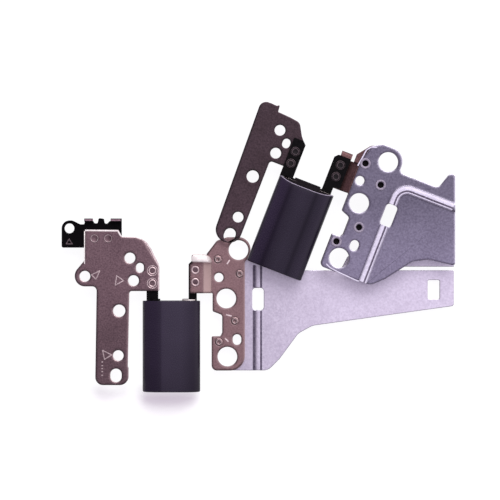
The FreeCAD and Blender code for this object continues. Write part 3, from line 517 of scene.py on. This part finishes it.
# Finish, finish of the broken edges, their width in mm, and whether that width gives way in tight places
dressing = {
    "left_lid_bracket": ("leftLidPlating", "brownEdge", 0.15, False),
    "left_base_bracket": ("leftBasePlating", "brownEdge", 0.12),
    "right_lid_bracket": ("rightLidPlating", "darkEdge", 0.17, False),
    "right_base_bracket": ("rightBasePlating", "brownEdge", 0.12),
    "left_steel_plate": ("leftZinc", "zincEdge", 0.11, False),
    "right_steel_plate": ("rightZinc", "zincEdge", 0.12, False),
    "left_cable_clip": ("blackClip", "clipEdge", 0.1),
}
for side in ("left", "right"):
    for end in ("lid", "base"):
        dressing[f"{side}_{end}_shaft"] = ("blackShaft", "blackShaft", 0.1)
        dressing[f"{side}_{end}_gear"] = ("gearBrass", "gearBrass", 0.03)
        dressing[f"{side}_{end}_idler"] = ("gearBrass", "gearBrass", 0.03)
        dressing[f"{side}_{end}_discs"] = ("springSteel", "springSteel", 0.04)
        dressing[f"{side}_{end}_springs"] = ("springSteel", "springSteel", 0.03)
        dressing[f"{side}_{end}_nut"] = ("springSteel", "springSteel", 0.1)
    # the end plates sit in painted shade
    dressing[f"{side}_end_plate"] = ("boreShade", "boreShade", 0.08)
    dressing[f"{side}_inner_plate"] = ("plateSteel", "plateSteel", 0.05)
    dressing[f"{side}_friction_plates"] = ("plateSteel", "plateSteel", 0.05)
for name, choice in dressing.items():
    dressNode(name, *choice)
print("carried-over pieces dressed:", len(dressing))


def addPiece(name, mesh, side, body, metals):
    # The mesh comes in the hinge's own millimetres
    mesh.transform(hinges[side])
    if side == "right":
        mesh.flip_normals()
    for metal in metals:
        mesh.materials.append(finishes[metal])
    return showPiece(name, mesh, body)


sharpAngle = 38     # degrees between two faces, from which their edge shows


def finishMesh(bm, name):
    bmesh.ops.recalc_face_normals(bm, faces=bm.faces)
    for face in bm.faces:
        face.smooth = len(face.verts) < 5     # the caps stay flat
    for edge in bm.edges:
        edge.smooth = len(edge.link_faces) == 2 and edge.calc_face_angle() < math.radians(sharpAngle)
    mesh = bpy.data.meshes.new(name)
    bm.to_mesh(mesh)
    bm.free()
    return mesh


def joinRings(bm, rings, metals=None):
    # Rings of the same number of points; a ring of one point closes the end
    for step, (upper, lower) in enumerate(zip(rings, rings[1:])):
        count = max(len(upper), len(lower))
        for index in range(count):
            after = (index + 1) % count
            if len(upper) == 1:
                face = bm.faces.new((upper[0], lower[index], lower[after]))
            elif len(lower) == 1:
                face = bm.faces.new((upper[index], lower[0], upper[after]))
            else:
                face = bm.faces.new((upper[index], lower[index], lower[after], upper[after]))
            if metals:
                face.material_index = metals[step]


# Covers: crowned shells, open at the top where the shafts come out, with painted reflections in bands along
# them and a painted highlight on the right one's mouth rim

coverShape = {
    "halfWidth": 7.78,
    "halfThick": 3.08,
    "length": 24.63,
    "crown": 3.0,        # higher is flatter in the middle and rounder at the sides
    "wall": 0.42,
    "floor": 1.0,        # wall of the closed end
    "endRound": 0.45,
    "endSteps": 5,
    "mouthRound": 0.3,
    "mouthInside": 0.06,
    "mouthOutside": 0.04,
    "mouthDrop": 0.05,
    "scoop": {"left": 0.0, "right": 0.9},    # how far the wall that is up is cut back at the mouth
    "scoopReach": 7.2,   # the scoop's half width
    "scoopPower": 4,
    "scoopDepth": 2.0,   # the scoop fades out down to here
    "straight": 2.5,     # from this depth to the closed end, the wall is straight
    "points": 120,
}


def crownedSection(shape, inset):
    ring = []
    for index in range(shape["points"]):
        angle = 2 * math.pi * index / shape["points"]
        across, up = math.cos(angle), math.sin(angle)
        x = math.copysign(abs(across) ** (2 / shape["crown"]), across) * (shape["halfWidth"] - inset)
        ring.append((x, up * (shape["halfThick"] - inset)))
    return ring


def coverStations(shape):
    # Inset from the outside, depth, and which of the two finishes starts there
    wall, length, straight = shape["wall"], shape["length"], -shape["straight"]
    end, steps = shape["endRound"], shape["endSteps"]
    mouth, outside = shape["mouthRound"], shape["mouthOutside"]
    stations = [(wall, shape["floor"] - length, 0), (wall, straight, 0), (wall, -shape["mouthDrop"], 1),
                (mouth + shape["mouthInside"], 0.0, 1), (outside, -outside, 1), (0.0, -mouth, 0),
                (0.0, straight, 0), (0.0, end - length, 0)]
    for step in range(1, steps + 1):
        angle = math.pi / 2 * step / steps
        stations.append((end * (1 - math.cos(angle)), end - length - end * math.sin(angle), 0))
    return stations


def makeCover(side, shape):
    bm = bmesh.new()
    rings = []
    stations = coverStations(shape)
    for inset, depth, finish in stations:
        cut = shape["scoop"][side] * max(0, 1 + depth / shape["scoopDepth"])
        ring = []
        for x, z in crownedSection(shape, inset):
            share = max(0, 1 - (x / shape["scoopReach"]) ** shape["scoopPower"]) if z < 0 else 0
            ring.append(bm.verts.new((x, depth - cut * share, z)))
        rings.append(ring)
    joinRings(bm, rings, [finish for inset, depth, finish in stations])
    bm.faces.new(rings[-1])
    bm.faces.new(list(reversed(rings[0])))
    name = side + "CoverShell"
    mesh = finishMesh(bm, name)
    across = mesh.attributes.new("across", "FLOAT", "POINT")
    for vertex, mark in zip(mesh.vertices, across.data):
        mark.value = vertex.co.x / shape["halfWidth"]
    # the right mouth's rim is a painted highlight
    rim = "leftCoverReflectionPaint" if side == "left" else "mouthRimHighlight"
    piece = addPiece(name, mesh, side, side + "_link", [side + "CoverReflectionPaint", rim])
    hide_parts(side + "_cover")


for side in ("left", "right"):
    makeCover(side, coverShape)
print("covers drawn")


# Rivets, turned from a profile: radius, level, and which of the rivet's two metals starts there. The first
# metal lies on the crests and is lighter, a painted highlight.

rivetBack = [(0.78, 1.28, 1), (0.78, -0.48, 1), (1.30, -0.50, 1), (1.25, -0.64, 0), (1.14, -0.72, 1),
             (0.86, -0.70, 0), (0.76, -0.73, 1), (0.66, -0.70, 1), (0, -0.68, 1)]
rivetShapes = {
    "ringed": [(0, 1.38, 1), (0.62, 1.38, 1), (0.70, 1.48, 0), (0.82, 1.54, 0),
               (0.94, 1.53, 0), (1.04, 1.46, 1), (1.12, 1.37, 1), (1.26, 1.37, 0),
               (1.34, 1.43, 0), (1.46, 1.42, 1), (1.50, 1.30, 1)] + rivetBack,
    "small": [(0, 1.38, 1), (0.62, 1.38, 1), (0.70, 1.48, 0), (0.84, 1.54, 0), (1.02, 1.52, 0),
              (1.12, 1.45, 1), (1.18, 1.37, 1), (1.20, 1.30, 1)] + rivetBack,
    "clip": [(0, 1.41, 1), (0.80, 1.38, 1), (0.92, 1.45, 0), (1.04, 1.45, 1), (1.14, 1.30, 1),
             (0.68, 1.28, 1), (0.68, -0.28, 1), (1.16, -0.30, 1), (1.10, -0.44, 1), (0.92, -0.54, 1),
             (0, -0.54, 1)],
    "hollow": [(0, -0.49, 1), (0.50, -0.49, 1), (0.58, -0.44, 0), (0.72, -0.43, 1), (0.98, -0.46, 1),
               (1.06, -0.51, 1), (0.88, -0.53, 1), (0.88, -1.98, 1), (1.46, -1.99, 0), (1.42, -2.14, 0),
               (1.22, -2.24, 0), (0.98, -2.20, 0), (0.84, -2.08, 1), (0.80, -1.90, 1), (0.74, -0.76, 1),
               (0, -0.72, 1)],
}
hollowPlaces = [(12.5, 11.1), (18.4, 7.2), (17.1, -5.5), (12.8, -11.2)]
rivetSets = {     # shape, places, side, body and the two metals
    "left_lid_rivets": ("ringed", [(-5.1, 4.7), (-5.1, 8.1)], "left", "left_lid",
                        ["rivetMetal", "rivetValley"]),
    "left_base_rivets": ("small", [(6.45, 5.0), (6.45, 8.3)], "left", "bases",
                         ["rivetMetal", "rivetValley"]),
    "left_clip_rivets": ("clip", [(-20.7, 16.8), (-17.0, 16.8)], "left", "left_lid",
                         ["markMetal", "rivetValley"]),
    "left_plate_rivets": ("hollow", hollowPlaces, "left", "bases", ["markMetal", "leftBasePlating"]),
    "right_lid_rivets": ("ringed", [(-6.15, 3.95), (-6.15, 7.35)], "right", "right_lid",
                         ["dimRing", "darkRivet"]),
    "right_base_rivets": ("small", [(6.45, 5.0), (6.45, 8.3)], "right", "bases", ["dimRing", "darkRivet"]),
    "right_plate_rivets": ("hollow", hollowPlaces, "right", "bases", ["zincRing", "boreShade"]),
}


def turned(bm, profile, x, y, points=40):
    rings = []
    for radius, level, metal in profile:
        count = points if radius else 1
        angles = [2 * math.pi * index / count for index in range(count)]
        rings.append([bm.verts.new((x + radius * math.cos(a), y + radius * math.sin(a), level))
                      for a in angles])
    joinRings(bm, rings, [metal for radius, level, metal in profile])


def pieceName(node):
    first, *others = node.split("_")
    return first + "".join(word.capitalize() for word in others)


for node, (shape, places, side, body, metals) in rivetSets.items():
    bm = bmesh.new()
    for x, y in places:
        turned(bm, rivetShapes[shape], x, y)
    name = pieceName(node)
    piece = addPiece(name, finishMesh(bm, name), side, body, metals)
    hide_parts(node)
print("rivets turned:", len(rivetSets))


# Pressed groove of the left plate and raised ridge of the right one, with painted shade on their flanks and
# a painted highlight on the ridge, and painted highlights along broken edges

def bend(x, y, radius, start, end, steps=10):
    # Points of an arc about (x, y), angles in degrees
    angles = [math.radians(start + (end - start) * step / steps) for step in range(steps + 1)]
    return [(x + radius * math.cos(a), y + radius * math.sin(a)) for a in angles]


# A section is swept along its paths: (to the right of the path, height), in the hinge's millimetres.
# "dark" are the steps of the section, counted from its start, in the second metal, which on the groove and
# the ridge is painted shade.
pressedForms = {
    "leftPlateGroove": {
        "side": "left", "body": "bases", "slot": "zinc_sheet", "metals": ["leftZinc", "zincFlankShade"],
        "level": -1.29, "up": 1, "dark": [1, 6],
        "section": [(-1.36, 0), (-1.26, 0.04), (-0.6, 0.02), (-0.5, 0.08), (0, 0.11), (0.5, 0.08),
                    (0.6, 0.02), (1.26, 0.04), (1.36, 0), (0.48, -0.06), (0.40, -0.44), (-0.40, -0.44),
                    (-0.48, -0.06)],
        "paths": [[(23.3, -18.8), (23.3, -2.7)], [(23.3, 3.5), (23.3, 9.6)]],
    },
    # its crest in a painted highlight, a line beside it in painted shade
    "rightPlateRidge": {
        "side": "right", "body": "bases", "slot": "zinc_sheet", "metals": ["zincHighlight", "zincFlankShade"],
        "level": -1.99, "up": -1, "dark": [4, 5],
        "section": [(-1.14, 0), (-1.10, 0.2), (-0.84, 0.57), (-0.5, 0.66), (0.1, 0.66), (0.42, 0.58),
                    (0.6, 0.55), (0.82, 0.57), (1.08, 0.2), (1.14, 0)],
        "paths": [[(23.3, -18.85), (23.3, -2.65)],
                  [(23.3, 3.45), (23.3, 5.2)] + bend(26.7, 5.3, 3.4, 180, 90) + [(26.9, 8.7), (38.7, 8.7)]],
    },
    "rightPlateRim": {     # a painted highlight along the broken edge at the head and the foot of the right plate
        "side": "right", "body": "bases", "slot": "zinc_sheet", "metals": ["zincHighlight"],
        "level": -1.9, "up": -1, "dark": [],
        "section": [(-0.2, 0), (-0.16, 0.12), (0.16, 0.12), (0.2, 0), (0.2, -0.3), (-0.2, -0.3)],
        "paths": [[(10.81, 9.8), (11.16, 12.23), (11.46, 14.54), (12.38, 15.79), (13.88, 16.28)],
                  [(12.44, -17.8), (13.76, -18.38), (16.28, -18.7), (21.8, -19.05), (23.29, -18.77)]],
    },
    "leftLidRim": {        # a painted highlight along the broken edge down the right of the left lid bracket
        "side": "left", "body": "left_lid", "slot": "brown_bracket",
        "metals": ["rimPlating", "leftLidPlating"], "level": 1.24, "up": 1, "dark": [0, 6],
        "section": [(1.1, -0.02), (0.22, 0.0), (0.18, 0.06), (-0.18, 0.05), (-0.22, 0), (-0.22, -0.6),
                    (1.1, -0.6)],
        "paths": [[(-8.2, 16.55), (-6.75, 15.6), (-5.65, 13.95), (-4.65, 11.9), (-3.65, 9.95),
                   (-3.42, 9.0), (-3.4, 2.8)]],
    },
}


def addSweep(bm, path, section, level, up, dark=()):
    rings = []
    for index, (x, y) in enumerate(path):
        before, after = path[max(index - 1, 0)], path[min(index + 1, len(path) - 1)]
        along = Vector((after[0] - before[0], after[1] - before[1])).normalized()
        rings.append([bm.verts.new((x + along.y * out, y - along.x * out, level + up * rise))
                      for out, rise in section])
    joinRings(bm, rings)
    bm.faces.ensure_lookup_table()
    for index, face in enumerate(bm.faces[-len(section) * (len(path) - 1):]):
        face.material_index = 1 if index % len(section) in dark else 0
    bm.faces.new(rings[0])
    bm.faces.new(list(reversed(rings[-1])))


for name, form in pressedForms.items():
    bm = bmesh.new()
    for path in form["paths"]:
        addSweep(bm, path, form["section"], form["level"], form["up"], form["dark"])
    addPiece(name, finishMesh(bm, name), form["side"], form["body"], form["metals"])
print("plates pressed:", len(pressedForms))


# Curled lip at the head of the left base bracket, in a painted highlight

lipShape = {
    "power": 0.75,     # below 1, the section is squarer than an oval
    "points": 28,
    "stations": [      # a place along the lip, half its width and half its thickness
        ((5.45, 11.35, 2.1), 0.50, 0.40), ((5.6, 11.4, 2.1), 0.92, 0.74), ((5.95, 11.45, 2.1), 1.10, 0.92),
        ((8.2, 11.45, 2.08), 1.12, 0.92), ((9.1, 11.35, 1.70), 1.10, 0.86),
        ((9.8, 11.15, 0.95), 1.00, 0.74), ((10.3, 10.9, 0.15), 0.82, 0.54),
        ((10.7, 10.6, -0.42), 0.52, 0.30), ((10.85, 10.5, -0.55), 0.20, 0.12),
    ],
}


def squaredOval(angle, power):
    across, up = math.cos(angle), math.sin(angle)
    return math.copysign(abs(across) ** power, across), math.copysign(abs(up) ** power, up)


def makeLip(shape):
    bm = bmesh.new()
    rings = []
    stations = shape["stations"]
    for index, (place, halfWidth, halfThick) in enumerate(stations):
        before, after = stations[max(index - 1, 0)][0], stations[min(index + 1, len(stations) - 1)][0]
        along = Vector((after[0] - before[0], 0, after[2] - before[2])).normalized()
        ring = []
        for step in range(shape["points"]):
            aside, up = squaredOval(2 * math.pi * step / shape["points"], shape["power"])
            aside, up = halfWidth * aside, halfThick * up
            ring.append(bm.verts.new(Vector(place) + Vector((-along.z * up, aside, along.x * up))))
        rings.append(ring)
    joinRings(bm, rings)
    bm.faces.new(rings[0])
    bm.faces.new(list(reversed(rings[-1])))
    addPiece("leftBaseLip", finishMesh(bm, "leftBaseLip"), "left", "bases", ["paleLip"])


makeLip(lipShape)
print("lip curled")


# At the mouths: thrust washers under the shafts' flanges, in a painted glint, and the stop plate of the
# right hinge, in painted shade

washerSets = {     # side, x, radius, start and end along the shaft, and the body that carries it
    "leftBaseWasher": ("left", 4.7, 1.85, 0.02, 0.36, "left_link"),
    "rightBaseWasher": ("right", 4.9, 2.3, -0.5, -0.06, "right_link"),
    "rightLidWasher": ("right", -4.5, 2.3, -0.5, -0.06, "right_link"),
}
washerShape = {
    "bore": 0.86,      # shares of the radius
    "face": 0.97,
    "edge": 0.05,      # mm
    "points": 48,
}
stopPlate = {
    "path": [(-3.55, 0.15), (-3.4, 0.17), (3.4, 0.17), (3.55, 0.15)],
    "section": [(-0.72, -1.1), (-0.6, -1.25), (0.6, -1.25), (0.72, -1.1), (0.72, 1.1), (0.6, 1.25),
                (-0.6, 1.25), (-0.72, 1.1)],
}


def makeWasher(name, side, x, radius, start, end, body):
    bore, face, edge = washerShape["bore"], washerShape["face"], washerShape["edge"]
    points = washerShape["points"]
    angles = [2 * math.pi * index / points for index in range(points)]
    bm = bmesh.new()
    rings = []
    for share, depth in ((bore, start), (face, start), (1.0, start + edge), (1.0, end - edge), (face, end),
                         (bore, end)):
        rings.append([bm.verts.new((x + share * radius * math.cos(a), depth, share * radius * math.sin(a)))
                      for a in angles])
    rings.append(rings[0])
    joinRings(bm, rings)
    addPiece(name, finishMesh(bm, name), side, body, ["paleLip"])


for name, choice in washerSets.items():
    makeWasher(name, *choice)
bm = bmesh.new()
addSweep(bm, stopPlate["path"], stopPlate["section"], 0, 1)
mesh = finishMesh(bm, "rightStopPlate")
addPiece("rightStopPlate", mesh, "right", "right_link", ["boreShade"])
print("mouths fitted")


# Stamped marks: arrow triangles, a row of dots and short ticks, as fine raised strokes; painted highlights
# on the clip's flanges and the lid bracket's head are drawn the same way

markSets = {
    "leftLidMarks": {
        "body": "left_lid", "level": 1.3, "slot": "brown_bracket", "width": 0.27, "metal": "markMetal",
        "strokes": [
            [(-21.5, 7.0), (-19.25, 8.05), (-20.3, 5.8), (-21.5, 7.0)],
            [(-14.7, 6.75), (-12.85, 5.4), (-15.1, 4.2), (-14.7, 6.75)],
            [(-18.5, -13.35), (-16.05, -14.6), (-18.0, -15.8), (-18.5, -13.35)],
        ],
        "dots": [(-18.6, -16.5), (-18.6, -17.5), (-18.6, -18.3), (-18.6, -19.1), (-18.6, -20.1)],
    },
    "leftClipMark": {
        "body": "left_lid", "level": 0.5, "slot": "black_clip", "width": 0.2, "metal": "dimRing",
        "strokes": [[(-27.6, 16.6), (-28.4, 15.3), (-26.7, 15.3), (-27.6, 16.6)]],
    },
    # a painted highlight along the tops of the clip's flanges
    "leftClipFlangeHighlights": {
        "body": "left_lid", "level": 1.9, "slot": "black_clip", "width": 0.42, "metal": "clipSheen",
        "strokes": [[(-23.1, 21.75), (-21.15, 21.75)], [(-16.2, 21.7), (-13.75, 21.7)]],
    },
    "leftBaseMarks": {
        "body": "bases", "level": -0.5, "slot": "brown_bracket", "width": 0.36, "metal": "rimPlating",
        "strokes": [
            [(15.05, 9.95), (15.65, 10.85)],
            [(14.85, -3.85), (16.15, -4.15)],
            [(14.6, -10.3), (15.3, -11.0)],
        ],
    },
    "leftCrownEdge": {   # a painted highlight along the broken edge at the head of the lid bracket
        "body": "left_lid", "level": 1.3, "slot": "brown_bracket", "width": 0.4, "metal": "paleLip",
        "strokes": [[(-23.1, 18.96), (-14.4, 18.86), (-13.6, 17.5)]],
    },
    # a painted highlight down the left edge of the lid bracket's head
    "leftCrownSide": {
        "body": "left_lid", "level": 1.3, "slot": "brown_bracket", "width": 0.22, "metal": "paleLip",
        "strokes": [[(-23.36, 18.7), (-23.36, 10.0)]],
    },
}

strokeShape = {
    "height": 0.035,     # mm
    "taper": 0.3,        # a share of the width
    "dotReach": 0.12,    # mm either side of a dot's middle
    "dotWidth": 0.3,
}


def addStroke(bm, start, end, level, width):
    # A low ridge, highest along its middle
    a, b = Vector((*start, level)), Vector((*end, level))
    along = (b - a).normalized()
    aside = along.cross(Vector((0, 0, 1))) * (width / 2)
    taper = along * width * strokeShape["taper"]
    rise = Vector((0, 0, strokeShape["height"]))
    ridge = [bm.verts.new(a + rise), bm.verts.new(b + rise)]
    a, b = a - taper, b + taper
    low = [bm.verts.new(p) for p in (a - aside, b - aside, b + aside, a + aside)]
    bm.faces.new((low[0], low[1], ridge[1], ridge[0]))
    bm.faces.new((low[2], low[3], ridge[0], ridge[1]))
    bm.faces.new((low[1], low[2], ridge[1]))
    bm.faces.new((low[3], low[0], ridge[0]))
    bm.faces.new(list(reversed(low)))


for name, marks in markSets.items():
    bm = bmesh.new()
    for line in marks["strokes"]:
        for start, end in zip(line, line[1:]):
            addStroke(bm, start, end, marks["level"], marks["width"])
    reach = strokeShape["dotReach"]
    for x, y in marks.get("dots", []):
        addStroke(bm, (x - reach, y), (x + reach, y), marks["level"], strokeShape["dotWidth"])
    addPiece(name, finishMesh(bm, name), "left", marks["body"], [marks["metal"]])
print("marks stamped:", len(markSets))


# Floor, lamps and sky

floorLook = {
    "size": 1.6,                 # metres
    "drop": 0.02,                # mm under the lowest point, so that no two faces meet
    "far": {"paint": (0.12, 0.13, 0.12, 1), "glow": (0.93, 0.92, 0.94, 1)},
    "near": {"paint": (0.88, 0.96, 0.87, 1), "glow": (0.17, 0.08, 0.18, 1)},
    "change": (-37.0, -41.0),    # mm along Y, from the far look to the near one, which keeps more shadow
}


def makeFloor(look):
    half = look["size"] / 2
    mesh = bpy.data.meshes.new("whiteTable")
    corners = [(x * half, y * half, -look["drop"] * mm) for x, y in ((-1, -1), (1, -1), (1, 1), (-1, 1))]
    mesh.from_pydata(corners, [], [(0, 1, 2, 3)])
    material, nodes, links = newMaterial("whiteTable")
    nodes.clear()
    place = nodes.new("ShaderNodeTexCoord")
    along = splitAxes(nodes, links, place.outputs["Object"])["Y"]
    far, near = look["far"], look["near"]
    start, end = look["change"]
    share = addRange(nodes, links, along, 1, 0, end * mm, start * mm)
    diffuse = nodes.new("ShaderNodeBsdfDiffuse")
    links.new(addMix(nodes, links, share, far["paint"], near["paint"]), diffuse.inputs["Color"])
    glow = nodes.new("ShaderNodeEmission")    # for the eye only, so that the open floor is white
    links.new(addMix(nodes, links, share, far["glow"], near["glow"]), glow.inputs["Color"])
    rays = nodes.new("ShaderNodeLightPath")
    seen = addMath(nodes, links, "MAXIMUM", rays.outputs["Is Camera Ray"], rays.outputs["Is Glossy Ray"])
    seen = addMath(nodes, links, "MAXIMUM", seen, rays.outputs["Is Transmission Ray"])
    links.new(seen, glow.inputs["Strength"])
    both = nodes.new("ShaderNodeAddShader")
    links.new(diffuse.outputs[0], both.inputs[0])
    links.new(glow.outputs[0], both.inputs[1])
    out = nodes.new("ShaderNodeOutputMaterial")
    links.new(both.outputs[0], out.inputs["Surface"])
    mesh.materials.append(material)
    floor = bpy.data.objects.new("whiteTable", mesh)
    bpy.context.scene.collection.objects.link(floor)


makeFloor(floorLook)

lampSetup = {     # places and sizes in metres, power in watts
    "windowLamp": {
        "place": (0.10, 0.36, 0.42), "size": (0.5, 0.3), "power": 2.4, "tint": (1.0, 1.0, 0.98),
    },
}


def makeLamp(name, setup):
    lamp = bpy.data.lights.new(name, "AREA")
    lamp.shape = "RECTANGLE"
    lamp.size, lamp.size_y = setup["size"]
    lamp.energy = setup["power"]
    lamp.color = setup["tint"]
    holder = bpy.data.objects.new(name, lamp)
    holder.location = setup["place"]
    holder.rotation_euler = (-Vector(setup["place"])).to_track_quat("-Z", "Y").to_euler()
    bpy.context.scene.collection.objects.link(holder)


for name, setup in lampSetup.items():
    makeLamp(name, setup)

skyLook = {
    "shade": (0.42, 0.39, 0.44, 1),      # the dim side of the room
    "tent": (0.92, 0.90, 0.96, 1),       # the bright cloth above, towards the far right
    "edge": (-0.26, -0.14),              # where the cloth begins, as a share of a direction's X
    "window": (1.3, 1.26, 1.3, 1),       # low and bright at the far right
    "windowSide": (0.15, 0.55),
    "windowTop": (0.35, 0.75),
    "rise": (0.1, 0.7),                  # how high the cloth hangs, as a share of a direction's Z
}


def makeSky(look):
    world = bpy.data.worlds.new("softTent")
    bpy.context.scene.world = world
    world.use_nodes = True
    nodes, links = world.node_tree.nodes, world.node_tree.links
    nodes.clear()
    place = nodes.new("ShaderNodeTexCoord")
    parts = splitAxes(nodes, links, place.outputs["Generated"])
    share = addRange(nodes, links, parts["X"], 0, 1, *look["edge"])
    high = addRange(nodes, links, parts["Z"], 0, 1, *look["rise"])
    share = addMath(nodes, links, "MULTIPLY", share, high)
    colour = addMix(nodes, links, share, look["shade"], look["tent"])
    aside = addMath(nodes, links, "ADD", parts["X"], parts["Y"])
    window = addRange(nodes, links, aside, 0, 1, *look["windowSide"])
    low = addRange(nodes, links, parts["Z"], 1, 0, *look["windowTop"])
    window = addMath(nodes, links, "MULTIPLY", window, low)
    light = nodes.new("ShaderNodeBackground")
    links.new(addMix(nodes, links, window, colour, look["window"]), light.inputs["Color"])
    white = nodes.new("ShaderNodeBackground")
    white.inputs["Color"].default_value = (1, 1, 1, 1)
    rays = nodes.new("ShaderNodeLightPath")
    mix = nodes.new("ShaderNodeMixShader")
    links.new(rays.outputs["Is Camera Ray"], mix.inputs["Fac"])
    links.new(light.outputs[0], mix.inputs[1])
    links.new(white.outputs[0], mix.inputs[2])
    out = nodes.new("ShaderNodeOutputWorld")
    links.new(mix.outputs[0], out.inputs["Surface"])


makeSky(skyLook)
bpy.context.scene.view_settings.view_transform = "Standard"
print("floor, lamp and sky set")
